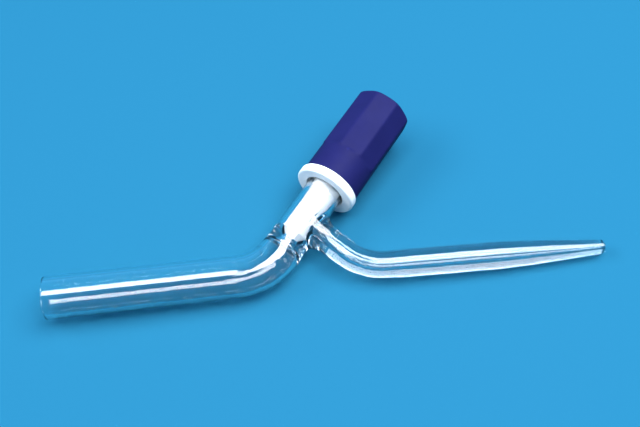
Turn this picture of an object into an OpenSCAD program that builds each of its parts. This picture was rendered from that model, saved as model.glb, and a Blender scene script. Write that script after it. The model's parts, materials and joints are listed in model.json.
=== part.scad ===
// Screw-operated needle-valve stopcock for a burette.
// A blown glass body lies on its side: wide inlet tube, inclined barrel with
// an internal seat, side arm, thick-walled outlet tube and drawn-out jet.
// A white fluoropolymer spindle slides in the barrel. A screw knob, held on
// the barrel by a locking ring, carries the spindle to and from the seat.
//
// Working frame of the modules (before the part is laid down at the end):
//   X along the outlet tube towards the jet, Y across it towards the knob,
//   Z square to the plane that all the glass tubes lie in,
//   origin where the side arm's axis meets the barrel's axis.
// Along the barrel, s is the distance from that origin towards the knob.

/* [Glass tubes] */
// Outside diameter of the inlet tube
inlet_od = 13.2; // [12.6:0.1:13.8]
// Bore of the inlet tube
inlet_id = 10.6; // [10:0.1:11]
// Length of the inlet tube, from the corner of its axis to the cut end
inlet_len = 65.9; // [50:0.1:90]
// Angle between the inlet tube and the outlet tube, as blown
inlet_skew = 1.6; // [0:0.1:3]
// Outside diameter of the outlet tube
outlet_od = 8.8; // [8.6:0.1:9.4]
// Bore of the side arm and the outlet tube
outlet_id = 2.6; // [2:0.1:3.2]
// Length of the outlet tube and jet, from the corner of its axis to the tip
outlet_len = 76.8; // [65:0.1:100]
// Length of the drawn-out jet
jet_len = 35.8; // [30:0.1:38]
// Outside diameter of the jet at its tip
jet_od = 4.3; // [3.6:0.1:4.8]
// Bore of the jet at its tip
jet_id = 1; // [0.6:0.1:1.4]
// Outside diameter of the side arm and its bend
arm_od = 8.4; // [8:0.1:8.6]
// Radius of both bends at the tube axis
bend_r = 18; // [16.5:0.1:18.5]

/* [Glass barrel] */
// Angle of the barrel's axis from the outlet tube's axis
barrel_angle = 51.5; // [48:0.1:55]
// Angle of the side arm below the outlet tube's direction
arm_angle = 45.6; // [43:0.1:48]
// Distance along the barrel from the side arm to the inlet's corner
inlet_corner = 21.8; // [21.6:0.1:24]
// Distance along the side arm from the barrel to the outlet's corner
arm_corner = 24.3; // [23.5:0.1:28]
// Outside diameter of the barrel
barrel_od = 12.4; // [12.2:0.1:12.8]
// Bore of the barrel
barrel_id = 9.6; // [9.4:0.1:9.8]
// Outside diameter of the moulded thread at the barrel's mouth
thread_od = 14.4; // [14:0.1:14.6]
// Diameter of the hole in the seat
seat_id = 3.8; // [3:0.1:4.2]

/* [Spindle and seals] */
// Diameter of the spindle's lower stem
stem_d = 8.6; // [8.2:0.1:8.8]
// Diameter of the spindle's neck, where the knob holds it
neck_d = 5; // [4.6:0.1:5.2]
// Section diameter of the sealing rings
ring_section = 1.5; // [1.3:0.1:1.6]

/* [Knob] */
// Distance across the corners of the eight-sided grip
grip_d = 20.2; // [19.4:0.1:20.4]
// Diameter of the round skirt
skirt_d = 19.2; // [18.6:0.1:19.4]
// Length of the round skirt
skirt_len = 10; // [7:0.5:13]
// Length of the knob
knob_len = 34.4; // [34:0.1:38]
// Radius at the knob's far end
knob_round = 1; // [1:0.1:2.6]
// Turn of the grip's corners about the barrel axis
grip_phase = 29; // [0:1:44]
// Outside diameter of the locking ring
lock_od = 20.6; // [20.2:0.1:21.4]
// Thickness of the locking ring's flange
lock_t = 3; // [2:0.1:3.2]

/* [Hidden] */
$fn = 96;

// how far straight tubes run into the bends, and the fine step there
lap = 0.4;
step = 0.04;

// stations along the barrel axis, s
s_seat = -9;            // narrow edge of the seat cone
s_cone = -6;            // wide edge of the seat cone
s_lock = 12.6;          // lower face of the locking ring
s_mouth = s_lock + lock_t + 0.05; // mouth of the knob
s_thread = 26.4;        // lower end of the moulded thread
s_top = 36;             // fire-polished mouth of the barrel
s_web = s_top + 1.5;    // underside of the knob's inner web
t_web = 3;              // thickness of that web
s_end = s_mouth + knob_len;       // far end of the knob
s_recess = s_web + t_web;
cap_t = 2;

// bends
inlet_turn = barrel_angle - inlet_skew;
inlet_tan = bend_r * tan(inlet_turn / 2);
arm_tan = bend_r * tan(arm_angle / 2);
s_bend = -(inlet_corner - inlet_tan);       // where the lower bend begins
inlet_x = -inlet_corner * cos(barrel_angle);
inlet_y = -inlet_corner * sin(barrel_angle);
outlet_x = arm_corner * cos(arm_angle);
outlet_y = -arm_corner * sin(arm_angle);

// How the part lies: the inlet tube beside its bend, the outlet tube where
// its jet begins and the lower rim of the locking ring touch the surface.
// The height of the tube plane is h(x, y) = rest_a + rest_b x + rest_c y.
ax = inlet_x - inlet_tan * cos(inlet_skew);
ay = inlet_y - inlet_tan * sin(inlet_skew);
bx = outlet_x + outlet_len - jet_len;
by = outlet_y;
cx = s_lock * cos(barrel_angle);
cy = s_lock * sin(barrel_angle);
ha = inlet_od / 2;
hb = outlet_od / 2;
hc = lock_od / 2 * 0.993;
den = (bx - ax) * (cy - ay) - (cx - ax) * (by - ay);
rest_b = ((hb - ha) * (cy - ay) - (hc - ha) * (by - ay)) / den;
rest_c = ((bx - ax) * (hc - ha) - (cx - ax) * (hb - ha)) / den;
pitch = -atan(rest_b);
roll = atan(rest_c * cos(atan(rest_b)));
rest_z = ha - rest_b * ax - rest_c * ay - 0.0113;
// middle of the part's footprint
mid_x = 7.01;
mid_y = 9.71;

// moves a shape modelled along +Z to the barrel axis; Y of the shape stays
// square to the tube plane
module on_barrel() {
    rotate([0, 0, barrel_angle]) rotate([0, 90, 0]) rotate([0, 0, 90]) children();
}

// lays the whole part on its resting points
module at_rest() {
    translate([-mid_x, -mid_y, rest_z]) rotate([0, pitch, 0]) rotate([roll, 0, 0]) children();
}

// the run of the inlet tube and its bend, as a solid rod of radius r; the bend
// is drawn thinner or wider than the straight tube by the fine step db
module inlet_run(r, db, extra = 0) {
    // straight length, with the cut end at the far left
    translate([inlet_x, inlet_y, 0]) rotate([0, 0, 180 + inlet_skew])
        translate([inlet_tan - lap, 0, 0]) rotate([0, 90, 0])
            cylinder(h = inlet_len - inlet_tan + lap + extra, r = r);
    // bend, from the inlet's direction up to the barrel's direction
    translate([ax - bend_r * sin(inlet_skew), ay + bend_r * cos(inlet_skew), 0])
        rotate([0, 0, inlet_skew - 90])
            rotate_extrude(angle = inlet_turn) translate([bend_r, 0]) circle(r = r + db);
}

// the run of the side arm and its bend, in the same way
module arm_run(r, db) {
    rotate([0, 0, -arm_angle]) rotate([0, 90, 0])
        cylinder(h = arm_corner - arm_tan + lap, r = r);
    translate([outlet_x + arm_tan, outlet_y + bend_r, 0])
        rotate([0, 0, -90 - arm_angle])
            rotate_extrude(angle = arm_angle) translate([bend_r, 0]) circle(r = r + db);
}

// outline of the outlet tube and jet: radius at distance t (0 to 1) of the jet
function jet_r(t, r0, r1) = r0 - (r0 - r1) * pow(t, 1.35);
function jet_outline(r0, r1, n) =
    [for (i = [0 : n]) [jet_r(i / n, r0, r1), outlet_len - jet_len + jet_len * i / n]];

// points of a quarter round from [x0, y0] to [x1, y1], leaving along Y
function quarter(x0, y0, x1, y1, n) =
    [for (i = [0 : n]) [x1 + (x0 - x1) * cos(90 * i / n), y0 + (y1 - y0) * sin(90 * i / n)]];

// outer form of the barrel, from the lower bend to the mouth
module barrel_outer() {
    rotate_extrude() polygon(concat(
        [[0, s_bend - lap], [inlet_od / 2, s_bend - lap], [barrel_od / 2, s_bend + 4.2],
         [barrel_od / 2, s_thread - 1], [thread_od / 2, s_thread],
         [thread_od / 2, s_top - 1.2]],
        quarter(barrel_od / 2 + 0.5, s_top - 0.9, barrel_od / 2 - 0.2, s_top, 4),
        [[0, s_top]]));
}

// inner form of the barrel: dome, seat hole, seat cone and bore
module barrel_inner() {
    rotate_extrude() polygon(concat(
        [[0, s_bend - lap], [inlet_id / 2, s_bend - lap]],
        quarter(inlet_id / 2, s_bend, seat_id / 2, s_bend + 2.9, 6),
        [[seat_id / 2, s_seat], [barrel_id / 2, s_cone], [barrel_id / 2, s_top + 1],
         [0, s_top + 1]]));
}

module glass_body() {
    color([0.86, 0.93, 0.96, 0.45])
    difference() {
        union() {
            inlet_run(inlet_od / 2, -step);
            on_barrel() barrel_outer();
            arm_run(arm_od / 2, -step);
            // flared root of the side arm
            rotate([0, 0, -arm_angle]) rotate([0, 90, 0])
                cylinder(h = 9.5, r1 = arm_od / 2 + 1.3, r2 = arm_od / 2);
            // outlet tube and jet
            translate([outlet_x, outlet_y, 0]) rotate([0, 90, 0]) rotate_extrude()
                polygon(concat(
                    [[0, arm_tan - lap], [arm_od / 2, arm_tan - lap], [outlet_od / 2, arm_tan + 5]],
                    jet_outline(outlet_od / 2, jet_od / 2, 14),
                    [[0, outlet_len]]));
        }
        inlet_run(inlet_id / 2, step, 1);
        on_barrel() barrel_inner();
        arm_run(outlet_id / 2, step);
        translate([outlet_x, outlet_y, 0]) rotate([0, 90, 0]) rotate_extrude()
            polygon(concat(
                [[0, arm_tan - lap], [outlet_id / 2, arm_tan - lap]],
                jet_outline(outlet_id / 2, jet_id / 2, 14),
                [[jet_id / 2, outlet_len + 1], [0, outlet_len + 1]]));
    }
}

// one sealing ring groove, centred on station s
s_seal_1 = 17.5;
s_seal_2 = 24.5;
seal_r = barrel_id / 2 - 0.04 - ring_section / 2;
module groove(s) {
    translate([0, 0, s - ring_section * 0.62]) difference() {
        cylinder(h = ring_section * 1.24, r = barrel_id);
        translate([0, 0, -1]) cylinder(h = 10, r = seal_r - ring_section / 2 - 0.04);
    }
}

s_piston = 11;
piston_r = barrel_id / 2 - 0.06;
clip_s = s_recess + 0.8;
clip_t = 0.7;
s_head = clip_s + 3.4;
module spindle() {
    color("white")
    on_barrel() difference() {
        rotate_extrude() polygon([
            [0, s_seat + 0.5], [seat_id / 2 + 0.42, s_seat + 0.5],
            [stem_d / 2, s_cone - 0.3],
            [stem_d / 2, s_piston - 0.5], [piston_r, s_piston],
            [piston_r, s_web - 0.05], [neck_d / 2, s_web - 0.05],
            [neck_d / 2, s_head - 0.7], [neck_d / 2 - 0.7, s_head], [0, s_head]]);
        groove(s_seal_1);
        groove(s_seal_2);
        // groove for the retaining clip
        translate([0, 0, clip_s - 0.05]) difference() {
            cylinder(h = clip_t + 0.1, r = neck_d);
            translate([0, 0, -1]) cylinder(h = 5, r = neck_d / 2 - 0.6);
        }
    }
}

module seal_ring(s) {
    on_barrel() translate([0, 0, s]) rotate_extrude()
        translate([seal_r, 0]) circle(r = ring_section / 2, $fn = 48);
}
module seal_ring_lower() { color([0.12, 0.12, 0.13]) seal_ring(s_seal_1); }
module seal_ring_upper() { color([0.12, 0.12, 0.13]) seal_ring(s_seal_2); }

// round outline with a rounded far end, which trims the grip's corners
module knob_envelope() {
    r = grip_d / 2;
    rotate_extrude() polygon(concat(
        [[0, s_mouth], [r, s_mouth]],
        quarter(r, s_end - knob_round, r - knob_round, s_end, 8),
        [[0, s_end]]));
}

bore_r = thread_od / 2 + 0.25;
module knob() {
    color([0.19, 0.2, 0.48])
    on_barrel() difference() {
        union() {
            translate([0, 0, s_mouth]) cylinder(h = skirt_len, r = skirt_d / 2);
            intersection() {
                translate([0, 0, s_mouth + skirt_len - 0.5]) rotate([0, 0, grip_phase])
                    cylinder(h = knob_len - skirt_len + 0.5, r = grip_d / 2, $fn = 8);
                knob_envelope();
            }
        }
        // seat for the locking ring's spigot
        translate([0, 0, s_mouth - 1]) cylinder(h = 3.6, r = lock_r + 0.03);
        // threaded bore, at its clearance diameter
        translate([0, 0, s_mouth]) cylinder(h = s_web - s_mouth, r = bore_r);
        // hole in the web for the spindle's neck
        translate([0, 0, s_web - 1]) cylinder(h = t_web + 2, r = neck_d / 2 + 0.08);
        // recess for washer and clip, and the step that the end cap sits on
        translate([0, 0, s_recess]) cylinder(h = s_end - s_recess + 1, r = 5.6);
        translate([0, 0, s_end - cap_t]) cylinder(h = cap_t + 1, r = 6.4);
    }
}

lock_r = 8.3;
module locking_ring() {
    color([0.93, 0.94, 0.93])
    on_barrel() difference() {
        union() {
            translate([0, 0, s_lock]) rotate_extrude() polygon([
                [0, 0], [lock_od / 2 - 0.4, 0], [lock_od / 2, 0.4],
                [lock_od / 2, lock_t - 0.4], [lock_od / 2 - 0.4, lock_t], [0, lock_t]]);
            translate([0, 0, s_lock + lock_t - 0.1]) cylinder(h = 2.5, r = lock_r);
        }
        translate([0, 0, s_lock - 1]) cylinder(h = lock_t + 5, r = barrel_od / 2 + 0.5);
    }
}

module thrust_washer() {
    color("gainsboro")
    on_barrel() translate([0, 0, s_recess + 0.06]) difference() {
        cylinder(h = 0.6, r = 4.6);
        translate([0, 0, -1]) cylinder(h = 3, r = neck_d / 2 + 0.05);
    }
}

module spindle_clip() {
    color("silver")
    on_barrel() translate([0, 0, clip_s]) difference() {
        cylinder(h = clip_t, r = 4.2);
        translate([0, 0, -1]) cylinder(h = 3, r = neck_d / 2 - 0.57);
        // gap through which the clip is pushed over the neck
        translate([0, -1.5, -1]) cube([6, 3, 3]);
    }
}

module knob_cap() {
    color([0.17, 0.18, 0.44])
    on_barrel() translate([0, 0, s_end - cap_t + 0.02]) rotate_extrude() polygon([
        [0, 0], [6.36, 0], [6.36, cap_t - 0.42], [5.96, cap_t - 0.02], [0, cap_t - 0.02]]);
}

at_rest() glass_body();
at_rest() spindle();
at_rest() seal_ring_lower();
at_rest() seal_ring_upper();
at_rest() knob();
at_rest() locking_ring();
at_rest() thrust_washer();
at_rest() spindle_clip();
at_rest() knob_cap();
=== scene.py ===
import json
import math
import bpy
import numpy as np
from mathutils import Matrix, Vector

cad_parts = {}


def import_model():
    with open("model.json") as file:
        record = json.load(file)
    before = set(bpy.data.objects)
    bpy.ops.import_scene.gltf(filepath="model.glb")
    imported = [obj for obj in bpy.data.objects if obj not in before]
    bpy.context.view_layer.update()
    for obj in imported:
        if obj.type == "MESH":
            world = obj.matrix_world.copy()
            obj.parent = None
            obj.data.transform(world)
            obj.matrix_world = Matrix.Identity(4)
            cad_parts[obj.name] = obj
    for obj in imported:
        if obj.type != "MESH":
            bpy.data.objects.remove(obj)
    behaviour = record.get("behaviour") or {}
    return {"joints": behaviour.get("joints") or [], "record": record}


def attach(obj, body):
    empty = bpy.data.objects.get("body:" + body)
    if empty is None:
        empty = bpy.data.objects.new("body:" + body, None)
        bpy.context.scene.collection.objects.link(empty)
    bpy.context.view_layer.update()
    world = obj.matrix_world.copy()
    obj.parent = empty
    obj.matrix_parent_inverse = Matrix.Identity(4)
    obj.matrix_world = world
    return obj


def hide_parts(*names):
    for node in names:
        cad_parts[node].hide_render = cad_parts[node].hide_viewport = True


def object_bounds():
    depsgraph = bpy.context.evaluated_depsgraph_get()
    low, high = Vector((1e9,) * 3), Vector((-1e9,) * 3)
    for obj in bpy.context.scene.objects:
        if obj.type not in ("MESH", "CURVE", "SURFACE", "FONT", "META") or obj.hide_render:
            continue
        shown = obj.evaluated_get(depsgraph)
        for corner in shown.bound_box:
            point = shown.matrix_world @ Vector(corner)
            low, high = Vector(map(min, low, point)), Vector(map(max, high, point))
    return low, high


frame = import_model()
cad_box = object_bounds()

# ---------------------------------------------------------------- frame ----
# The part's own axes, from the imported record. J is where the axes of the
# barrel and of the side arm meet, X runs along the outlet tube to the jet,
# Z is square to the plane of the tubes.
record = frame["record"]
joints = {j["name"]: j for j in frame["joints"]}
mounts = {m["name"]: m for m in record["mounts"]}


def unit(v):
    v = np.asarray(v, float)
    return v / np.linalg.norm(v)


BAR = unit(joints["spindle_travel"]["axis"])
X = unit(mounts["outlet_tube"]["axis"])
Z = unit(np.cross(X, BAR))
Y = np.cross(Z, X)
J = np.asarray(joints["knob_turn"]["pos_m"], float) * 1000 - 30.0 * BAR
AXES = np.stack([X, Y, Z])


def world(p):
    """Working-frame millimetres to row-frame metres."""
    return (J + np.asarray(p, float) @ AXES) / 1000.0


def turned(n):
    return np.asarray(n, float) @ AXES


# ----------------------------------------------------------- dimensions ----
# the same dimensions as the CAD source, in millimetres
INLET_OD, INLET_ID, INLET_LEN, SKEW = 13.2, 10.6, 65.9, math.radians(1.6)
OUT_OD, OUT_ID, OUT_LEN, JET_LEN = 8.8, 2.6, 76.8, 35.8
JET_OD, JET_ID, ARM_OD, BEND = 4.3, 1.0, 8.4, 18.0
BETA, ALPHA = math.radians(51.5), math.radians(45.6)
IN_CORNER, ARM_CORNER = 21.8, 24.3
BAR_R, BORE_R, THR_R, SEAT_R = 6.2, 4.8, 7.2, 1.9
S_SEAT, S_CONE, S_LOCK, S_THREAD, S_TOP = -9.0, -6.0, 12.6, 26.4, 36.0
LOCK_R, LOCK_T = 10.3, 3.0
S_MOUTH = S_LOCK + LOCK_T + 0.05
SKIRT_R, SKIRT_LEN, KNOB_LEN, KNOB_ROUND, GRIP_R = 9.6, 10.0, 34.4, 1.0, 10.1
PHASE = math.radians(29.0)
S_WEB, T_WEB = S_TOP + 1.5, 3.0
S_RECESS = S_WEB + T_WEB
S_END = S_MOUTH + KNOB_LEN
CAP_T = 2.0
PITCH = 2.5
TURN = BETA - SKEW
IN_TAN = BEND * math.tan(TURN / 2)
ARM_TAN = BEND * math.tan(ALPHA / 2)
S_BEND = -(IN_CORNER - IN_TAN)

U = np.array([math.cos(BETA), math.sin(BETA), 0.0])     # barrel axis
V = np.array([-math.sin(BETA), math.cos(BETA), 0.0])    # across it, in plane
W = np.array([0.0, 0.0, 1.0])                           # plane normal
ARM = np.array([math.cos(ALPHA), -math.sin(ALPHA), 0.0])


def smooth(x, a, b):
    t = np.clip((np.asarray(x, float) - a) / (b - a), 0, 1)
    return t * t * (3 - 2 * t)


# --------------------------------------------------------------- meshes ----
def add_mesh(name, verts, faces, normals, body, nodes, mat, uv=None):
    """A mesh in the row frame with given vertex normals, riding on a body."""
    me = bpy.data.meshes.new(name)
    me.from_pydata([tuple(v) for v in world(verts)], [], faces)
    me.update()
    n = turned(normals)
    n /= np.maximum(np.linalg.norm(n, axis=1, keepdims=True), 1e-12)
    for p in me.polygons:
        p.use_smooth = True
    if uv is not None:
        layer = me.uv_layers.new(name="along")
        idx = np.empty(len(me.loops), dtype=np.int32)
        me.loops.foreach_get("vertex_index", idx)
        layer.data.foreach_set("uv", np.asarray(uv, np.float32)[idx].ravel())
    me.normals_split_custom_set_from_vertices([tuple(v) for v in n])
    ob = bpy.data.objects.new(name, me)
    bpy.context.scene.collection.objects.link(ob)
    me.materials.append(mat)
    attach(ob, body)
    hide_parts(*nodes)
    return ob


def area_normals(verts, faces):
    """Vertex normals weighted by the area of the faces round each vertex."""
    n = np.zeros_like(verts)
    quads = np.array([f for f in faces if len(f) == 4], int).reshape(-1, 4)
    tris = np.array([f for f in faces if len(f) == 3], int).reshape(-1, 3)
    if len(quads):
        fn = np.cross(verts[quads[:, 2]] - verts[quads[:, 0]],
                      verts[quads[:, 3]] - verts[quads[:, 1]])
        for k in range(4):
            np.add.at(n, quads[:, k], fn)
    if len(tris):
        fn = np.cross(verts[tris[:, 1]] - verts[tris[:, 0]],
                      verts[tris[:, 2]] - verts[tris[:, 0]])
        for k in range(3):
            np.add.at(n, tris[:, k], fn)
    return n / np.maximum(np.linalg.norm(n, axis=1, keepdims=True), 1e-12)


def grid_faces(m, n, base=0, wrap=False):
    """Quads between m rings of n vertices; wrap joins the last ring to the first."""
    out = []
    for i in range(m if wrap else m - 1):
        a, b = base + i * n, base + ((i + 1) % m) * n
        for j in range(n):
            k = (j + 1) % n
            out.append((a + j, a + k, b + k, b + j))
    return out


def rounded(points, radii, n=5):
    """A closed outline with each corner rounded by its own radius."""
    pts = [np.array(p, float) for p in points]
    out = []
    for i, p in enumerate(pts):
        r = radii[i]
        a, b = pts[i - 1], pts[(i + 1) % len(pts)]
        if r <= 0:
            out.append(p)
            continue
        da, db = unit(a - p), unit(b - p)
        ang = math.acos(np.clip(da @ db, -1, 1))
        if ang > math.pi - 1e-3:
            out.append(p)
            continue
        cut = min(r / math.tan(ang / 2), 0.49 * np.linalg.norm(a - p),
                  0.49 * np.linalg.norm(b - p))
        rr = cut * math.tan(ang / 2)
        c = p + unit(da + db) * (rr / math.sin(ang / 2))
        s0, s1 = p + da * cut - c, p + db * cut - c
        a0, a1 = math.atan2(s0[1], s0[0]), math.atan2(s1[1], s1[0])
        d = (a1 - a0 + math.pi) % (2 * math.pi) - math.pi
        out += [c + rr * np.array([math.cos(a0 + d * k / n), math.sin(a0 + d * k / n)])
                for k in range(n + 1)]
    return np.array(out)


def refined(outline, longest):
    """The closed outline with long stretches cut into shorter ones."""
    out = []
    for i, p in enumerate(outline):
        q = outline[(i + 1) % len(outline)]
        k = max(1, int(math.ceil(np.linalg.norm(q - p) / longest)))
        out += [p + (q - p) * j / k for j in range(k)]
    return np.array(out)


def lathe(outline, n, shape=None):
    """A closed outline of (s, r) turned about the barrel axis. shape may give
    the radius at (angle, s, r). Returns vertices, faces and (angle, s) pairs."""
    th = np.arange(n) * 2 * math.pi / n
    s = np.repeat(outline[:, 0][:, None], n, 1)
    r = np.repeat(outline[:, 1][:, None], n, 1)
    t = np.repeat(th[None, :], len(outline), 0)
    if shape is not None:
        s, r = shape(t, s, r)
    v = (s[..., None] * U + (r * np.cos(t))[..., None] * V
         + (r * np.sin(t))[..., None] * W).reshape(-1, 3)
    f = grid_faces(len(outline), n, wrap=True)
    # which way round: the enclosed volume is positive when faces look outward
    q = np.array(f)
    a, b, c, d = (v[q[:, k]] for k in range(4))
    vol = np.einsum("ij,ij->i", a, np.cross(b, c) + np.cross(c, d)).sum()
    if vol < 0:
        f = [x[::-1] for x in f]
    return v, f, np.stack([t.ravel() / (2 * math.pi), s.ravel() / 10], 1)


def lathe_piece(name, outline, n, body, node, mat, shape=None):
    v, f, uv = lathe(outline, n, shape)
    return add_mesh(name, v, f, area_normals(v, f), body, [node], mat, uv)


# ------------------------------------------------------------ materials ----
def shader(name):
    m = bpy.data.materials.new(name)
    m.use_nodes = True
    t = m.node_tree
    t.nodes.clear()
    out = t.nodes.new("ShaderNodeOutputMaterial")
    b = t.nodes.new("ShaderNodeBsdfPrincipled")
    t.links.new(b.outputs[0], out.inputs[0])
    return m, t, b


def node(t, kind, **vals):
    n = t.nodes.new(kind)
    for k, v in vals.items():
        if k.startswith("in_"):
            n.inputs[k[3:].replace("_", " ")].default_value = v
        else:
            setattr(n, k, v)
    return n


def noise(t, coord, scale, detail=3.0, rough=0.5, mapping=None):
    src = coord
    if mapping is not None:
        mp = node(t, "ShaderNodeMapping")
        mp.inputs["Scale"].default_value = mapping
        t.links.new(coord, mp.inputs["Vector"])
        src = mp.outputs[0]
    n = node(t, "ShaderNodeTexNoise", in_Scale=scale, in_Detail=detail, in_Roughness=rough)
    t.links.new(src, n.inputs["Vector"])
    return n.outputs["Fac"]


def ramp(t, fac, lo, hi, a, b):
    """fac from lo..hi mapped to a..b, clamped."""
    n = node(t, "ShaderNodeMapRange")
    n.inputs["From Min"].default_value = lo
    n.inputs["From Max"].default_value = hi
    n.inputs["To Min"].default_value = a
    n.inputs["To Max"].default_value = b
    t.links.new(fac, n.inputs["Value"])
    return n.outputs[0]


def blend_colour(t, fac, a, b):
    n = node(t, "ShaderNodeMix", data_type="RGBA")
    for s in n.inputs:
        if s.name == "A" and s.type == "RGBA":
            s.default_value = (*a, 1) if not isinstance(a, bpy.types.NodeSocket) else (0, 0, 0, 1)
            if isinstance(a, bpy.types.NodeSocket):
                t.links.new(a, s)
        if s.name == "B" and s.type == "RGBA":
            s.default_value = (*b, 1)
    t.links.new(fac, n.inputs[0])
    return [o for o in n.outputs if o.type == "RGBA"][0]


def bump(t, height, strength, distance, after=None):
    n = node(t, "ShaderNodeBump", in_Strength=strength, in_Distance=distance)
    t.links.new(height, n.inputs["Height"])
    if after is not None:
        t.links.new(after, n.inputs["Normal"])
    return n.outputs[0]


def glass_material():
    m, t, b = shader("clear_glass")
    b.inputs["Base Color"].default_value = (1, 1, 1, 1)
    b.inputs["Transmission Weight"].default_value = 1.0
    b.inputs["IOR"].default_value = 1.474
    pos = node(t, "ShaderNodeTexCoord").outputs["Object"]
    # faint waves of worked glass, and a very light haze of handling
    wave = noise(t, pos, 260, 1.0, 0.4)
    n1 = bump(t, wave, 0.06, 0.00006)
    t.links.new(n1, b.inputs["Normal"])
    haze = noise(t, pos, 60, 4.0, 0.6)
    t.links.new(ramp(t, haze, 0.55, 0.8, 0.0, 0.018), b.inputs["Roughness"])
    return m


def ptfe_material():
    m, t, b = shader("white_fluoropolymer")
    pos = node(t, "ShaderNodeTexCoord").outputs["Object"]
    uv = node(t, "ShaderNodeUVMap", uv_map="along").outputs[0]
    cloud = noise(t, pos, 320, 4.0, 0.55)
    col = blend_colour(t, ramp(t, cloud, 0.35, 0.7, 0, 1), (0.77, 0.77, 0.76), (0.82, 0.82, 0.81))
    t.links.new(col, b.inputs["Base Color"])
    b.inputs["IOR"].default_value = 1.36
    b.inputs["Subsurface Weight"].default_value = 0.25
    b.inputs["Subsurface Radius"].default_value = (1.0, 1.0, 1.0)
    b.inputs["Subsurface Scale"].default_value = 0.0009
    turning = noise(t, uv, 1.0, 5.0, 0.65, (1.2, 420, 1))
    t.links.new(ramp(t, cloud, 0.3, 0.7, 0.32, 0.46), b.inputs["Roughness"])
    grain = noise(t, pos, 5200, 2.0, 0.5)
    n1 = bump(t, turning, 0.35, 0.00004)
    n2 = bump(t, grain, 0.08, 0.00002, n1)
    t.links.new(n2, b.inputs["Normal"])
    return m


def moulded_plastic(name, base, worn, rough, grain_scale=4200, sss=0.0, spec=0.5):
    m, t, b = shader(name)
    pos = node(t, "ShaderNodeTexCoord").outputs["Object"]
    geo = node(t, "ShaderNodeNewGeometry")
    cloud = noise(t, pos, 140, 4.0, 0.6)
    body = blend_colour(t, ramp(t, cloud, 0.3, 0.7, 0, 1),
                        tuple(c * 0.93 for c in base), tuple(min(1, c * 1.07) for c in base))
    # edges rub a little paler
    edge = ramp(t, geo.outputs["Pointiness"], 0.53, 0.60, 0.0, 1.0)
    scuff = noise(t, pos, 900, 5.0, 0.7)
    mul = node(t, "ShaderNodeMath", operation="MULTIPLY")
    t.links.new(edge, mul.inputs[0])
    t.links.new(ramp(t, scuff, 0.40, 0.65, 0.1, 0.7), mul.inputs[1])
    col = blend_colour(t, mul.outputs[0], body, worn)
    t.links.new(col, b.inputs["Base Color"])
    b.inputs["IOR"].default_value = 1.49
    b.inputs["Specular IOR Level"].default_value = spec
    if sss:
        b.inputs["Subsurface Weight"].default_value = sss
        b.inputs["Subsurface Radius"].default_value = (1.0, 0.9, 0.8)
        b.inputs["Subsurface Scale"].default_value = 0.0006
    smear = noise(t, pos, 75, 5.0, 0.65)
    t.links.new(ramp(t, smear, 0.3, 0.72, rough - 0.05, rough + 0.09), b.inputs["Roughness"])
    grain = noise(t, pos, grain_scale, 2.0, 0.5)
    ripple = noise(t, pos, 190, 2.0, 0.5)
    n1 = bump(t, ripple, 0.18, 0.00006)
    n2 = bump(t, grain, 0.22, 0.00003, n1)
    t.links.new(n2, b.inputs["Normal"])
    return m


def rubber_material():
    m, t, b = shader("black_elastomer")
    pos = node(t, "ShaderNodeTexCoord").outputs["Object"]
    dust = noise(t, pos, 1500, 5.0, 0.7)
    col = blend_colour(t, ramp(t, dust, 0.45, 0.75, 0, 1), (0.012, 0.012, 0.013), (0.035, 0.035, 0.036))
    t.links.new(col, b.inputs["Base Color"])
    t.links.new(ramp(t, dust, 0.3, 0.7, 0.42, 0.6), b.inputs["Roughness"])
    t.links.new(bump(t, noise(t, pos, 3600, 3.0, 0.6), 0.25, 0.00003), b.inputs["Normal"])
    return m


def steel_material():
    m, t, b = shader("stainless_steel")
    pos = node(t, "ShaderNodeTexCoord").outputs["Object"]
    b.inputs["Metallic"].default_value = 1.0
    grain = noise(t, pos, 1600, 4.0, 0.6, (1, 1, 8))
    col = blend_colour(t, grain, (0.55, 0.55, 0.54), (0.68, 0.68, 0.67))
    t.links.new(col, b.inputs["Base Color"])
    t.links.new(ramp(t, grain, 0.3, 0.7, 0.22, 0.4), b.inputs["Roughness"])
    t.links.new(bump(t, grain, 0.2, 0.00002), b.inputs["Normal"])
    return m


GLASS = glass_material()
PTFE = ptfe_material()
BLUE = moulded_plastic("blue_plastic", (0.006383, 0.006923, 0.04759), (0.01021, 0.01108, 0.07614), 0.55, spec=0.04)
WHITE = moulded_plastic("white_plastic", (0.62, 0.63, 0.62), (0.70, 0.71, 0.70), 0.33, sss=0.2)
RUBBER = rubber_material()
STEEL = steel_material()

# ---------------------------------------------------------------- glass ----
# The junction of barrel and side arm is a surface found from its distance
# field; the three branches are swept and joined to it.
dome = [(S_BEND + 2.9 * math.sin(a), SEAT_R + (INLET_ID / 2 - SEAT_R) * math.cos(a))
        for a in np.linspace(0, math.pi / 2, 13)]
SEAT_LINE = np.array([(-80.0, INLET_ID / 2)] + dome
                     + [(S_SEAT, SEAT_R), (S_CONE, BORE_R), (80.0, BORE_R)])


def along_main(p):
    """Station s and distance from the centre line of the inlet bend and barrel.
    p is (u, v, w) in the barrel's own axes."""
    u, v, w = p[..., 0], p[..., 1], p[..., 2]
    du, dv = u - S_BEND, v - BEND
    big = np.hypot(du, dv)
    phi = np.arctan2(-du, -dv)
    in_arc = u < S_BEND
    off = np.where(in_arc, big - BEND, v)
    s = np.where(in_arc, S_BEND - BEND * phi, u)
    return s, np.hypot(off, w)


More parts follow.
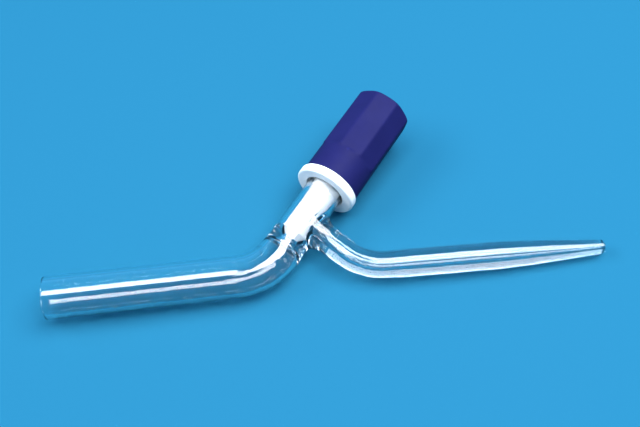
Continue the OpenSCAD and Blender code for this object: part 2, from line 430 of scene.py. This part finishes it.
def seat_distance(s, d):
    """Signed distance in the (s, d) half plane to the inner outline."""
    best = np.full(s.shape, 1e9)
    for a, b in zip(SEAT_LINE[:-1], SEAT_LINE[1:]):
        e = b - a
        t = np.clip(((s - a[0]) * e[0] + (d - a[1]) * e[1]) / (e @ e), 0, 1)
        best = np.minimum(best, np.hypot(s - a[0] - t * e[0], d - a[1] - t * e[1]))
    return np.where(d < np.interp(s, SEAT_LINE[:, 0], SEAT_LINE[:, 1]), -best, best)


def smin(a, b, k):
    h = np.maximum(k - np.abs(a - b), 0) / k
    return np.minimum(a, b) - h * h * k / 4


ARM_UV = np.array([ARM @ U, ARM @ V, 0.0])


def along_arm(p):
    t = p @ ARM_UV
    d = np.linalg.norm(p - t[..., None] * ARM_UV, axis=-1)
    return t, d


def outer_field(p):
    s, d = along_main(p)
    r = INLET_OD / 2 + (BAR_R - INLET_OD / 2) * smooth(s, S_BEND - 0.5, S_BEND + 4.7)
    t, e = along_arm(p)
    ra = ARM_OD / 2 + 0.75 * (1 - smooth(t, 5.5, 12.0))
    return smin(d - r, e - ra + np.maximum(0, 3.5 - t) * 1.2, 3.4)


def inner_field(p):
    s, d = along_main(p)
    t, e = along_arm(p)
    flare = OUT_ID / 2 + 0.5 * (1 - smooth(t, 4.6, 7.5))
    return smin(seat_distance(s, d), e - flare + np.maximum(0, 3.0 - t) * 1.2, 0.7)


def gradient(field, p, h=0.02):
    g = np.empty_like(p)
    for k in range(3):
        e = np.zeros(3)
        e[k] = h
        g[:, k] = (field(p + e) - field(p - e)) / (2 * h)
    return g


def surface(field, lo, hi, h, cuts, rounds=6):
    """Quads on the zero surface of a field inside a box, relaxed and put
    exactly on the surface. cuts are (axis, side) faces of the box where the
    surface is left open. Returns vertices, quads and {cut: loop of indices}."""
    n = [int(round((hi[k] - lo[k]) / h)) + 1 for k in range(3)]
    ax = [lo[k] + h * np.arange(n[k]) for k in range(3)]
    grid = np.stack(np.meshgrid(*ax, indexing="ij"), -1)
    f = field(grid.reshape(-1, 3)).reshape(n)
    inside = f < 0
    cn = tuple(k - 1 for k in n)
    acc = np.zeros(cn + (3,))
    cnt = np.zeros(cn, int)
    quads = []
    for a in range(3):
        b, c = (a + 1) % 3, (a + 2) % 3
        s0 = [slice(None)] * 3
        s1 = [slice(None)] * 3
        s0[a], s1[a] = slice(0, -1), slice(1, None)
        f0, f1 = f[tuple(s0)], f[tuple(s1)]
        cross = inside[tuple(s0)] != inside[tuple(s1)]
        idx = np.argwhere(cross)
        if not len(idx):
            continue
        v0, v1 = f0[cross], f1[cross]
        t = v0 / (v0 - v1)
        pts = np.stack([ax[k][idx[:, k]] for k in range(3)], 1)
        pts[:, a] += t * h
        for db in (0, 1):
            for dc in (0, 1):
                cell = idx.copy()
                cell[:, b] -= db
                cell[:, c] -= dc
                ok = np.all((cell >= 0) & (cell < np.array(cn)), 1)
                cc = tuple(cell[ok].T)
                np.add.at(acc, cc, pts[ok])
                np.add.at(cnt, cc, 1)
        ring = []
        for db, dc in ((1, 1), (0, 1), (0, 0), (1, 0)):
            cell = idx.copy()
            cell[:, b] -= db
            cell[:, c] -= dc
            ring.append(cell)
        ring = np.stack(ring, 1)
        ok = np.all((ring >= 0) & (ring < np.array(cn)), (1, 2))
        # a quad looks along +a where the inside is at the lower end
        up = (v0 < 0)[ok]
        r = ring[ok]
        r[~up] = r[~up][:, ::-1]
        quads.append(r)
    used = cnt > 0
    number = -np.ones(cn, int)
    number[used] = np.arange(used.sum())
    verts = acc[used] / cnt[used][:, None]
    q = np.concatenate(quads)
    q = number[q[..., 0], q[..., 1], q[..., 2]]
    # edges used once are the open ends
    e = np.concatenate([q[:, [0, 1]], q[:, [1, 2]], q[:, [2, 3]], q[:, [3, 0]]])
    key = np.sort(e, 1)
    uniq, inv, count = np.unique(key, axis=0, return_inverse=True, return_counts=True)
    open_edges = e[(count[inv.ravel()] == 1)]
    nxt = {int(a): int(b) for a, b in open_edges}
    rim = np.zeros(len(verts), bool)
    rim[open_edges.ravel()] = True
    loops = {}
    todo = set(nxt)
    while todo:
        start = todo.pop()
        loop, k = [start], nxt[start]
        while k != start:
            loop.append(k)
            todo.discard(k)
            k = nxt[k]
        mid = verts[loop].mean(0)
        best = min(cuts, key=lambda cut: abs(mid[cut[0]] - (lo, hi)[cut[1]][cut[0]]))
        if best in loops and len(loops[best]) > len(loop):
            continue
        loops[best] = loop
    # every vertex on a rim is held in its cut plane
    hold_axis = -np.ones(len(verts), int)
    for (a, side), loop in loops.items():
        plane = lo[a] + h * 0.5 if side == 0 else lo[a] + h * (n[a] - 1.5)
        verts[loop, a] = plane
        hold_axis[loop] = a
    pair = np.unique(key, axis=0)
    deg = np.zeros(len(verts))
    np.add.at(deg, pair.ravel(), 1)

    def settle(p):
        for _ in range(3):
            g = gradient(field, p)
            held = hold_axis >= 0
            g[held, hold_axis[held]] = 0
            p = p - field(p)[:, None] * g / np.maximum((g * g).sum(1), 0.05)[:, None]
        return p

    verts = settle(verts)
    for _ in range(rounds):
        avg = np.zeros_like(verts)
        np.add.at(avg, pair[:, 0], verts[pair[:, 1]])
        np.add.at(avg, pair[:, 1], verts[pair[:, 0]])
        avg /= deg[:, None]
        move = avg - verts
        g = gradient(field, verts)
        g /= np.maximum(np.linalg.norm(g, axis=1, keepdims=True), 1e-9)
        move -= (move * g).sum(1)[:, None] * g
        move[rim] = 0
        verts = settle(verts + 0.6 * move)
    # unit normals from the field's gradient
    g = gradient(field, verts)
    g /= np.maximum(np.linalg.norm(g, axis=1, keepdims=True), 1e-9)
    return verts, [tuple(int(k) for k in row) for row in q], loops, g


def uvw_to_xyz(p):
    return p[:, :1] * U + p[:, 1:2] * V + p[:, 2:3] * W


STEP = 0.36
lo = np.array([-16.0, -13.2, -7.6])
hi = np.array([10.4, 7.6, 7.6])
n_cell = np.round((hi - lo) / STEP)
hi = lo + n_cell * STEP
CUTS = [(0, 0), (0, 1), (1, 0)]
ov, oq, oloops, on = surface(outer_field, lo, hi, STEP, CUTS)
iv, iq, iloops, inn = surface(inner_field, lo, hi, STEP, CUTS)

G_V = [uvw_to_xyz(ov), uvw_to_xyz(iv)]
G_N = [uvw_to_xyz(on), uvw_to_xyz(-inn)]
G_F = list(oq) + [tuple(k + len(ov) for k in f[::-1]) for f in iq]
G_count = len(ov) + len(iv)


def waver(t, th, seed, amount):
    """The slight unevenness of drawn and hand-worked tubing."""
    k = seed * 1.7
    return amount * (0.5 * np.sin(t * 0.21 + 2 * th + k) + 0.3 * np.sin(t * 0.47 - th + 2.1 * k)
                     + 0.2 * np.sin(t * 0.093 + 3 * th + 0.7 * k))


def branch(rings, n, seed, blend_in):
    """Swept rings: each is (centre, e1, e2, radius, distance along). The radius may be a function of the angle.
    Returns vertices, normals and whether the faces must be flipped."""
    th = np.arange(n) * 2 * math.pi / n
    P = np.empty((len(rings), n, 3))
    for i, (c, e1, e2, r, t) in enumerate(rings):
        rr = r(th) if callable(r) else np.full(n, float(r))
        amount = (0.0, 0.026, 0.016, 0.020)[seed] * min(1.0, rr.mean() / 6)
        rr = rr + (waver(t, th, seed, amount) - amount) * float(smooth(abs(t - blend_in), 0, 8))
        P[i] = c + rr[:, None] * (np.cos(th)[:, None] * e1 + np.sin(th)[:, None] * e2)
    du = np.roll(P, -1, 1) - np.roll(P, 1, 1)
    dv = np.empty_like(P)
    dv[1:-1] = P[2:] - P[:-2]
    dv[0], dv[-1] = P[1] - P[0], P[-1] - P[-2]
    N = np.cross(du, dv)
    N /= np.maximum(np.linalg.norm(N, axis=2, keepdims=True), 1e-12)
    radial = P[0, 0] - rings[0][0]
    flip = (N[0, 0] @ radial) < 0
    if flip:
        N = -N
    return P.reshape(-1, 3), N.reshape(-1, 3), flip


def zip_loops(loop, loop_pts, ring, ring_pts, centre, e1, e2):
    """Triangles between an uneven loop and an even ring."""
    def ang(p):
        d = p - centre
        return np.arctan2(d @ e2, d @ e1) % (2 * math.pi)

    a, b = ang(loop_pts), ang(ring_pts)
    ia, ib = np.argsort(a), np.argsort(b)
    a, b = a[ia], b[ib]
    la, lb = [loop[k] for k in ia], [ring[k] for k in ib]
    j0 = int(np.argmin(np.abs((b - a[0] + math.pi) % (2 * math.pi) - math.pi)))
    lb = lb[j0:] + lb[:j0]
    b = np.concatenate([b[j0:], b[:j0] + 2 * math.pi])
    if b[0] - a[0] > math.pi:
        b = b - 2 * math.pi
    a = np.append(a, a[0] + 2 * math.pi)
    b = np.append(b, b[0] + 2 * math.pi)
    la, lb = la + la[:1], lb + lb[:1]
    i = j = 0
    faces = []
    while i < len(la) - 1 or j < len(lb) - 1:
        go_a = j == len(lb) - 1 or (i < len(la) - 1 and a[i + 1] <= b[j + 1])
        if go_a:
            faces.append((la[i], la[i + 1], lb[j]))
            i += 1
        else:
            faces.append((la[i], lb[j + 1], lb[j]))
            j += 1
    return faces


def add_branch(rings, n, seed, blend_in, cut):
    global G_count
    P, N, flip = branch(rings, n, seed, blend_in)
    base = G_count
    f = grid_faces(len(rings), n, base)
    if flip:
        f = [x[::-1] for x in f]
    first = list(range(base, base + n))
    last = list(range(base + (len(rings) - 1) * n, base + len(rings) * n))
    all_v = np.concatenate(G_V)
    ends = []
    for loop, off, ring, pts, spec in (
            (oloops[cut], 0, first, P[:n], rings[0]),
            (iloops[cut], len(ov), last, P[-n:], rings[-1])):
        loop = [k + off for k in loop]
        ends.append(zip_loops(loop, all_v[loop], ring, pts, spec[0], spec[1], spec[2]))
    G_V.append(P)
    G_N.append(N)
    G_count += len(P)
    vv, nn = np.concatenate(G_V), np.concatenate(G_N)
    for fs in ends:
        for t in fs:
            if len(set(t)) < 3:
                continue
            fn = np.cross(vv[t[1]] - vv[t[0]], vv[t[2]] - vv[t[0]])
            if fn @ nn[list(t)].sum(0) < 0:
                t = t[::-1]
            f.append(t)
    G_F.extend(f)


def quarter(r0, t0, r1, t1, n, lead):
    """Quarter round from (r0, t0) to (r1, t1), leaving along t if lead."""
    out = []
    for k in range(1, n + 1):
        a = math.pi / 2 * k / n
        if lead:
            out.append((r1 + (r0 - r1) * math.cos(a), t0 + (t1 - t0) * math.sin(a)))
        else:
            out.append((r0 + (r1 - r0) * math.sin(a), t1 + (t0 - t1) * math.cos(a)))
    return out


NSEG = 112


# inlet: bend, straight tube, cut end
def inlet_frame(t):
    """Centre and frame at distance t below the start of the bend."""
    if t < BEND * TURN:
        phi = t / BEND
        c = (S_BEND - BEND * math.sin(phi)) * U + BEND * (1 - math.cos(phi)) * V
        e1 = math.sin(phi) * U + math.cos(phi) * V
    else:
        phi = TURN
        d = -math.cos(phi) * U + math.sin(phi) * V
        c = ((S_BEND - BEND * math.sin(phi)) * U + BEND * (1 - math.cos(phi)) * V
             + (t - BEND * TURN) * d)
        e1 = math.sin(phi) * U + math.cos(phi) * V
    return c, e1, W


T_IN = BEND * TURN + INLET_LEN - IN_TAN
t0 = 3.1
outer_t = list(np.arange(t0, BEND * TURN, 0.55)) + list(np.arange(BEND * TURN, T_IN - 0.8, 1.0))
RO, RI, RIM = INLET_OD / 2, INLET_ID / 2, 0.32
prof = [(RO, t) for t in outer_t] + [(RO, T_IN - 0.6), (RO, T_IN - RIM)]
prof += quarter(RO, T_IN - RIM, RO - RIM, T_IN, 6, True)
prof += [(RO - RIM - 0.12, T_IN), (RI + RIM + 0.12, T_IN), (RI + RIM, T_IN)]
prof += quarter(RI + RIM, T_IN, RI, T_IN - RIM, 6, False)
prof += [(RI, T_IN - 0.6)] + [(RI, t) for t in outer_t[::-1]]


def rings_of(profile, where):
    out = []
    for r, t in profile:
        c, e1, e2 = where(t)
        out.append((c, e1, e2, r, t))
    return out


add_branch(rings_of(prof, inlet_frame), NSEG, 1, t0, (0, 0))


# side arm: straight, bend, outlet tube, drawn jet
ARM_STRAIGHT = ARM_CORNER - ARM_TAN
ARC_END = ARM_STRAIGHT + BEND * ALPHA
T_OUT = ARC_END + OUT_LEN - ARM_TAN


def arm_frame(t):
    if t < ARM_STRAIGHT:
        th, c = -ALPHA, t * ARM
    elif t < ARC_END:
        th = -ALPHA + (t - ARM_STRAIGHT) / BEND
        mid = ARM_STRAIGHT * ARM + BEND * np.array([math.sin(ALPHA), math.cos(ALPHA), 0])
        c = mid + BEND * np.array([math.sin(th), -math.cos(th), 0])
    else:
        th = 0.0
        mid = ARM_STRAIGHT * ARM + BEND * np.array([math.sin(ALPHA), math.cos(ALPHA), 0])
        c = mid + np.array([t - ARC_END, -BEND, 0])
    return c, np.array([-math.sin(th), math.cos(th), 0]), W


def jet(t, r0, r1):
    k = np.clip((t - (T_OUT - JET_LEN)) / JET_LEN, 0, 1)
    return r0 - (r0 - r1) * k ** 1.35


def out_r(t):
    grow = float(smooth(t, ARC_END - 2, ARC_END + 6))
    return float(ARM_OD / 2 + (jet(t, OUT_OD / 2, JET_OD / 2) - ARM_OD / 2) * grow) \
        if t < T_OUT - JET_LEN else float(jet(t, OUT_OD / 2, JET_OD / 2))


def in_r(t):
    return float(jet(t, OUT_ID / 2, JET_ID / 2))


a0 = 14.2
ts = list(np.arange(a0, ARC_END, 0.6)) + list(np.arange(ARC_END, T_OUT - 0.9, 0.9))
prof = [(out_r(t), t) for t in ts] + [(out_r(T_OUT - 0.5), T_OUT - 0.5), (out_r(T_OUT - 0.3), T_OUT - 0.3)]
ro, ri = out_r(T_OUT), in_r(T_OUT)
prof += quarter(out_r(T_OUT - 0.3), T_OUT - 0.3, ro - 0.35, T_OUT, 6, True)
prof += [(ro - 0.5, T_OUT), (ri + 0.3, T_OUT), (ri + 0.18, T_OUT)]
prof += quarter(ri + 0.18, T_OUT, ri, T_OUT - 0.2, 4, False)
prof += [(in_r(T_OUT - 0.5), T_OUT - 0.5)] + [(in_r(t), t) for t in ts[::-1]]
add_branch(rings_of(prof, arm_frame), NSEG - 16, 2, a0, (1, 0))


# barrel: plain part, moulded thread, fire-polished mouth
def bar_frame(t):
    return t * U, V, W


def thread_height(x, half, soft):
    """Height 0 to 1 of a thread ridge at phase x, centred on 0."""
    d = np.abs((x + 0.5) % 1.0 - 0.5)
    return smooth(half + soft - d, 0, 2 * soft)


def thread_r(s):
    core = BAR_R + 0.15 * float(smooth(s, S_THREAD - 2, S_THREAD))
    env = float(smooth(s, S_THREAD - 0.6, S_THREAD + 1.4) * (1 - smooth(s, 33.4, 35.0)))

    def r(th):
        h = thread_height(s / PITCH - th / (2 * math.pi), 0.20, 0.11)
        return core + (THR_R - 0.03 - core) * env * h
    return r


b0 = 11.2
prof = [(BAR_R, t) for t in np.arange(b0, 24.0, 1.0)]
prof += [(thread_r(s), s) for s in np.arange(24.4, 35.01, 0.17)]
prof += [(6.30, 35.15), (6.26, 35.3)]
prof += quarter(6.2, 35.35, 5.6, S_TOP, 7, True)
prof += [(5.5, S_TOP), (5.35, S_TOP)]
prof += quarter(5.35, S_TOP, BORE_R, S_TOP - 0.55, 6, False)
prof += [(BORE_R, t) for t in np.arange(35.0, b0, -1.0)] + [(BORE_R, b0)]
add_branch(rings_of(prof, bar_frame), NSEG, 3, b0, (0, 1))

gv, gn = np.concatenate(G_V), np.concatenate(G_N)
glass = add_mesh("stopcock_body_glass", gv, G_F, gn, "body", ["glass_body"],
                 GLASS)

# -------------------------------------------------------------- spindle ----
STEM_R, PISTON_R, NECK_R, S_PISTON = 4.3, BORE_R - 0.06, 2.5, 11.0
SEAL_R, RING = BORE_R - 0.04 - 0.75, 1.5
GR = SEAL_R - RING / 2 - 0.02
S_HEAD, CLIP_S, CLIP_T = S_RECESS + 0.8 + 3.4, S_RECESS + 0.8, 0.7
pts, rad = [], []


def corner(s, r, f=0.0):
    pts.append((s, r))
    rad.append(f)


corner(S_SEAT + 0.5, 0.02)
corner(S_SEAT + 0.5, SEAT_R + 0.42, 0.3)
corner(S_CONE - 0.3, STEM_R, 0.35)
corner(S_PISTON - 0.6, STEM_R, 0.3)
corner(S_PISTON, PISTON_R, 0.3)
for sc in (17.5, 24.5):
    corner(sc - 0.93, PISTON_R, 0.12)
    corner(sc - 0.93, GR, 0.12)
    corner(sc + 0.93, GR, 0.12)
    corner(sc + 0.93, PISTON_R, 0.12)
corner(S_WEB - 0.05, PISTON_R, 0.25)
corner(S_WEB - 0.05, NECK_R, 0.15)
corner(CLIP_S - 0.05, NECK_R, 0.05)
corner(CLIP_S - 0.05, NECK_R - 0.6, 0.05)
corner(CLIP_S + CLIP_T + 0.05, NECK_R - 0.6, 0.05)
corner(CLIP_S + CLIP_T + 0.05, NECK_R, 0.05)
corner(S_HEAD - 0.7, NECK_R, 0.2)
corner(S_HEAD, NECK_R - 0.7, 0.2)
corner(S_HEAD, 0.02)
outline = refined(rounded(pts, rad, 4), 0.8)


def turned_marks(t, s, r):
    """Fine ridges that the lathe leaves on the stem."""
    on = smooth(r, 2.0, 3.0) * smooth(s, -8, -6) * (1 - smooth(s, 34, 36))
    return s, r + on * 0.006 * np.sin(s * 2 * math.pi / 0.9)


spindle = lathe_piece("spindle_turned", outline, 112, "spindle", "spindle",
                      PTFE, turned_marks)

# sealing rings, slightly flattened where the bore presses them
for nm, sc in (("seal_ring_lower", 17.5), ("seal_ring_upper", 24.5)):
    a = np.arange(28) * 2 * math.pi / 28
    rr = RING / 2
    ro_ = SEAL_R + np.minimum(rr * np.cos(a), rr * 0.985)
    outline = np.stack([sc + rr * np.sin(a), ro_], 1)

    def flash(t, s, r, sc=sc):
        # the faint moulding line round the inside
        return s, r + 0.008 * np.exp(-((s - sc) / 0.06) ** 2) * (r < SEAL_R)
    lathe_piece(nm + "_moulded", outline, 96, "spindle", nm, RUBBER, flash)

# thrust washer
outline = rounded([(S_RECESS + 0.06, NECK_R + 0.05), (S_RECESS + 0.66, NECK_R + 0.05),
                   (S_RECESS + 0.66, 4.6), (S_RECESS + 0.06, 4.6)], [0.08] * 4, 3)
lathe_piece("thrust_washer_cut", outline, 80, "spindle", "thrust_washer",
            PTFE)


# spindle clip: a split ring with rounded ends
def clip_mesh():
    n, gap = 72, math.asin(1.5 / 4.2) + 0.02
    th = np.linspace(gap, 2 * math.pi - gap, n) + 0.0
    sec = rounded([(CLIP_S, NECK_R - 0.55), (CLIP_S + CLIP_T, NECK_R - 0.55),
                   (CLIP_S + CLIP_T, 4.15), (CLIP_S, 4.15)], [0.1] * 4, 3)
    m = len(sec)
    v = []
    for i, a in enumerate(th):
        k = min(i, n - 1 - i)
        shrink = [0.55, 0.85, 1.0][min(k, 2)]
        mid = sec.mean(0)
        q = mid + (sec - mid) * np.array([shrink, shrink])
        v.append(q[:, :1] * U + (q[:, 1] * math.cos(a))[:, None] * V
                 + (q[:, 1] * math.sin(a))[:, None] * W)
    v = np.concatenate(v)
    f = []
    for i in range(n - 1):
        for j in range(m):
            k = (j + 1) % m
            f.append((i * m + j, (i + 1) * m + j, (i + 1) * m + k, i * m + k))
    f.append(tuple(range(m)))
    f.append(tuple((n - 1) * m + k for k in range(m))[::-1])
    q = np.array(f[0])
    mid = (CLIP_S + CLIP_T / 2) * U
    fn = np.cross(v[q[1]] - v[q[0]], v[q[2]] - v[q[0]])
    me = bpy.data.meshes.new("spindle_clip_bent")
    me.from_pydata([tuple(p) for p in world(v)], [], f)
    import bmesh
    bm = bmesh.new()
    bm.from_mesh(me)
    bmesh.ops.recalc_face_normals(bm, faces=bm.faces)
    bm.to_mesh(me)
    bm.free()
    for p in me.polygons:
        p.use_smooth = len(p.vertices) == 4
    ob = bpy.data.objects.new("spindle_clip_bent", me)
    bpy.context.scene.collection.objects.link(ob)
    me.materials.append(STEEL)
    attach(ob, "spindle")
    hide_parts("spindle_clip")


clip_mesh()

# ----------------------------------------------------------------- knob ----
APO = GRIP_R * math.cos(math.pi / 8)


def grip_r(t):
    """Rounded octagon: distance from the axis at angle t."""
    k = 55.0
    m = np.zeros_like(t)
    for i in range(8):
        # flats lie half-way between the corners
        m += np.exp(k * (np.cos(t - PHASE - math.pi / 8 - i * math.pi / 4) - 1))
    return APO / (1 + np.log(m) / k)


pts, rad = [], []
BORE_K = THR_R + 0.25
corner(S_MOUTH, SKIRT_R, 0.45)
corner(S_END, SKIRT_R, 0)
corner(S_END, 6.4, 0.15)
corner(S_END - CAP_T, 6.4, 0.1)
corner(S_END - CAP_T, 5.6, 0.1)
corner(S_RECESS, 5.6, 0.2)
corner(S_RECESS, NECK_R + 0.08, 0.15)
corner(S_WEB, NECK_R + 0.08, 0.15)
corner(S_WEB, BORE_K, 0.4)
corner(S_MOUTH + 2.6, BORE_K, 0.15)
corner(S_MOUTH + 2.6, 8.33, 0.1)
corner(S_MOUTH, 8.33, 0.2)
line = rounded(pts, rad, 5)
# the far end's rounding replaces the plain corner
corner_at = int(np.argmin(np.hypot(line[:, 0] - S_END, line[:, 1] - SKIRT_R)))
arc = [(S_END - KNOB_ROUND + KNOB_ROUND * math.sin(a) - 0.014 * math.sin(2 * a), 30.0 + math.degrees(a))
       for a in np.linspace(0, math.pi / 2, 15)]
head, tail = line[:corner_at], line[corner_at + 1:]
fine = []
for s in np.arange(S_MOUTH + 0.9, S_END - KNOB_ROUND - 0.2, 0.42):
    fine.append((s, SKIRT_R))
outer = np.array(list(head) + fine)
rest = []
prev = np.array([S_END, GRIP_R - KNOB_ROUND])
for q in tail:
    gap = np.linalg.norm(q - prev)
    step = 0.17 if (abs(q[1] - BORE_K) < 0.3 and abs(prev[1] - BORE_K) < 0.3) else 1.0
    k = max(1, int(math.ceil(gap / step)))
    rest += [prev + (q - prev) * (j + 1) / k for j in range(k)]
    prev = q
line = np.concatenate([outer, np.array(arc), np.array(rest)])


def knob_shape(t, s, r):
    r, s = r.copy(), s.copy()
    is_arc = r >= 29.9
    a = np.radians(np.where(is_arc, r - 30.0, 0.0))
    env = GRIP_R - KNOB_ROUND + KNOB_ROUND * np.cos(a) - 0.014 * np.sin(2 * a)
    oct_r = grip_r(t)
    lim = smin(oct_r, env, 0.35)
    at_end = (s > S_END - 1e-6) & (r > GRIP_R - KNOB_ROUND - 0.02) & ~is_arc
    skin = (~is_arc) & (r > SKIRT_R - 0.6) & (s < S_END - KNOB_ROUND + 0.01)
    k = smooth(s, S_MOUTH + SKIRT_LEN - 0.5, S_MOUTH + SKIRT_LEN + 0.7)
    body = r + (np.minimum(oct_r, GRIP_R) - SKIRT_R) * k
    out = np.where(is_arc, lim, np.where(skin, body, r))
    # parting line of the mould, on two opposite sides
    part = np.exp(-(np.minimum(np.abs((t - PHASE + math.pi) % (2 * math.pi) - math.pi),
                               np.abs((t - PHASE) % (2 * math.pi) - math.pi)) * 9.6 / 0.13) ** 2)
    out = np.where(skin & (s > S_MOUTH + 0.6), out + 0.035 * part * (1 - k), out)
    # inner thread, in step with the one on the glass
    bore = (~is_arc) & (np.abs(r - BORE_K) < 0.01) & (s > S_MOUTH + 2.9) & (s < S_WEB - 0.6)
    env_t = smooth(s, S_MOUTH + 3.0, S_MOUTH + 5.0) * (1 - smooth(s, S_WEB - 3.0, S_WEB - 1.2))
    h = thread_height(s / PITCH - t / (2 * math.pi) + 0.5, 0.14, 0.08)
    out = np.where(bore, out - 0.75 * env_t * h, out)
    return s, out


knob = lathe_piece("knob_moulded", line, 216, "knob", "knob",
                   BLUE, knob_shape)

# end cap, a shade proud of nothing, with its moulding mark
c0 = S_END - CAP_T + 0.02
pts, rad = [], []
corner(c0, 0.02)
corner(c0, 6.3, 0.15)
corner(S_END - 0.06, 6.3, 0.4)
corner(S_END - 0.10, 1.5, 0)
corner(S_END - 0.22, 1.1, 0.05)
corner(S_END - 0.22, 0.02)
outline = refined(rounded(pts, rad, 5), 0.7)
lathe_piece("knob_cap_moulded", outline, 120, "knob", "knob_cap", BLUE)

# locking ring
LR = 8.3
pts, rad = [], []
corner(S_LOCK, BAR_R + 0.5, 0.3)
corner(S_LOCK, LOCK_R, 0.7)
corner(S_LOCK + LOCK_T, LOCK_R, 0.6)
corner(S_LOCK + LOCK_T, LR, 0.2)
corner(S_LOCK + LOCK_T + 2.4, LR, 0.3)
corner(S_LOCK + LOCK_T + 2.4, BAR_R + 0.5, 0.3)
outline = refined(rounded(pts, rad, 6), 0.6)
lathe_piece("locking_ring_moulded", outline, 160, "knob", "locking_ring",
            WHITE)

# ---------------------------------------------------------------- stage ----
scene = bpy.context.scene
lo_b, hi_b = cad_box


def floor():
    me = bpy.data.meshes.new("floor")
    n, size = 24, 2.2
    v, f = [], []
    for i in range(n + 1):
        for j in range(n + 1):
            v.append((-size + 2 * size * i / n, -size + 2 * size * j / n, lo_b[2] - 0.00002))
    for i in range(n):
        for j in range(n):
            a = i * (n + 1) + j
            f.append((a, a + n + 1, a + n + 2, a + 1))
    me.from_pydata(v, [], f)
    ob = bpy.data.objects.new("floor", me)
    scene.collection.objects.link(ob)
    m, t, b = shader("floor_paper")
    pos = node(t, "ShaderNodeTexCoord").outputs["Object"]
    g = noise(t, pos, 900, 4.0, 0.6)
    col = blend_colour(t, g, (0.008674, 0.07953, 0.1433), (0.009028, 0.08278, 0.1491))
    t.links.new(col, b.inputs["Base Color"])
    b.inputs["Roughness"].default_value = 0.9
    b.inputs["Specular IOR Level"].default_value = 0.0
    me.materials.append(m)


floor()

w = bpy.data.worlds.new("studio")
scene.world = w
w.use_nodes = True
bg = [n for n in w.node_tree.nodes if n.type == "BACKGROUND"][0]
bg.inputs[0].default_value = (0.12, 0.45, 0.85, 1)
bg.inputs[1].default_value = 1.15


def overhead(name, x0, x1, y0, y1, z, radiance):
    """A flat soft light facing straight down."""
    d = bpy.data.lights.new(name, "AREA")
    d.shape = "RECTANGLE"
    d.size, d.size_y = x1 - x0, y1 - y0
    d.energy = 4 * radiance * d.size * d.size_y
    ob = bpy.data.objects.new(name, d)
    ob.location = ((x0 + x1) / 2, (y0 + y1) / 2, z)
    scene.collection.objects.link(ob)
    return ob


# soft panels side by side overhead, each where a run of the glass mirrors it;
# the key stands to the left and front, and a wide low fill further left
overhead("panel_inlet", -0.25, -0.01, -0.29, 0.08, 0.85, 15)
overhead("panel_key", -0.46, -0.25, -0.35, -0.18, 0.85, 12)
overhead("panel_fill", -1.25, -0.65, -0.25, 0.55, 0.85, 15)
overhead("panel_bend", -0.01, 0.09, -0.42, -0.08, 0.85, 9)
overhead("panel_outlet", 0.09, 0.42, -0.32, 0.36, 0.85, 16)
overhead("panel_jet", 0.42, 0.72, -0.32, 0.36, 0.85, 14)

# --------------------------------------------------------------- camera ----
cam_d = bpy.data.cameras.new("camera")
cam_d.lens = 49.87
cam_d.sensor_width = 36.0
cam_d.sensor_fit = "HORIZONTAL"
cam_d.clip_start = 0.01
cam_d.clip_end = 20
cam = bpy.data.objects.new("camera", cam_d)
mid = np.array([(lo_b[0] + hi_b[0]) / 2, (lo_b[1] + hi_b[1]) / 2, lo_b[2]])
el, az, dist = math.radians(53.916), math.radians(-6.673), 0.29291
tgt = mid + np.array([-0.000588, -0.001050, 0.0])
direction = np.array([math.sin(az) * math.cos(el), -math.cos(az) * math.cos(el), math.sin(el)])
cam.location = tuple(tgt + direction * dist)
import mathutils
look = mathutils.Vector(tuple(-direction))
cam.rotation_euler = look.to_track_quat("-Z", "Y").to_euler()
scene.collection.objects.link(cam)
scene.camera = cam
scene.view_settings.view_transform = "Standard"  # the lights and base colours are set for it
